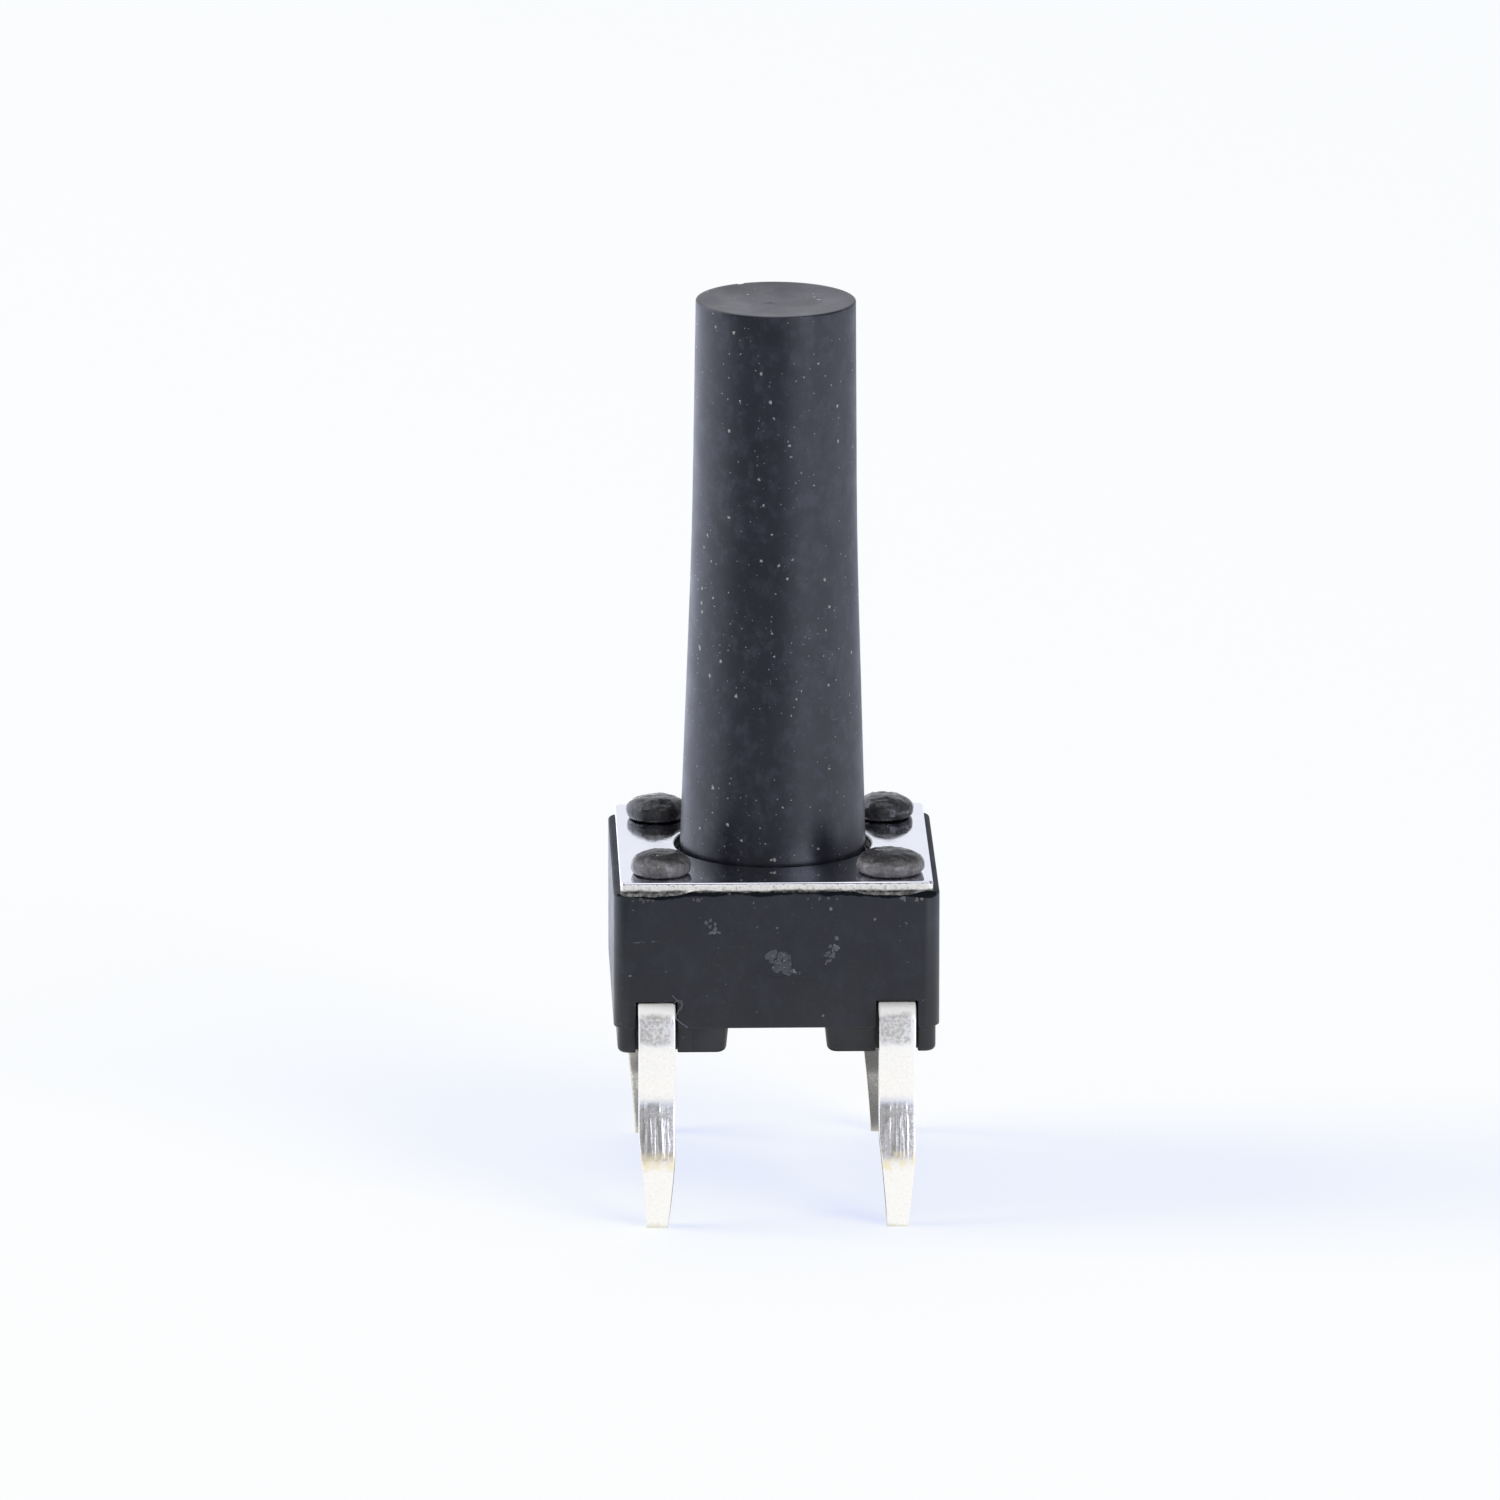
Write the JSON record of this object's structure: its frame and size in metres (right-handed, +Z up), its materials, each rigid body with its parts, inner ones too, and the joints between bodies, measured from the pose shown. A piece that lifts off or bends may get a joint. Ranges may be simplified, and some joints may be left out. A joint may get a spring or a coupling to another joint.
{
  "type": "tactile push button switch",
  "caption": "Small square through-hole tactile switch with a long tapered round plunger, a heat-staked metal cover and kinked snap-in legs.",
  "frame": {"origin": "middle of the footprint, on the plane that the four leg tips stand on; the board's top face comes at z = 3.25 mm", "axes": "+Z up along the plunger, +X to the right across the two terminals, -Y towards the face with the gate mark"},
  "size_m": [0.006, 0.007, 0.017],
  "materials": {
    "base": "moulded black with a fine grain",
    "cover": "bright plate with a rough sheared edge",
    "plunger": "fine matt grain with pale specks",
    "contact_dome": "rolled spring strip",
    "terminals": "silver plated"
  },
  "bodies": {
    "housing": {"base": "base", "cover": "cover", "contact_dome": "contact_dome", "rim_terminal": "terminals", "centre_terminal": "terminals"},
    "button": {"plunger": "plunger"}
  },
  "joints": [
    {"name": "plunger_press", "type": "slide", "parent": "housing", "child": "button", "axis": [0, 0, -1], "range_m": [0, 0.00025], "stiffness_N_per_m": 6400, "deforming": ["contact_dome"]}
  ]
}
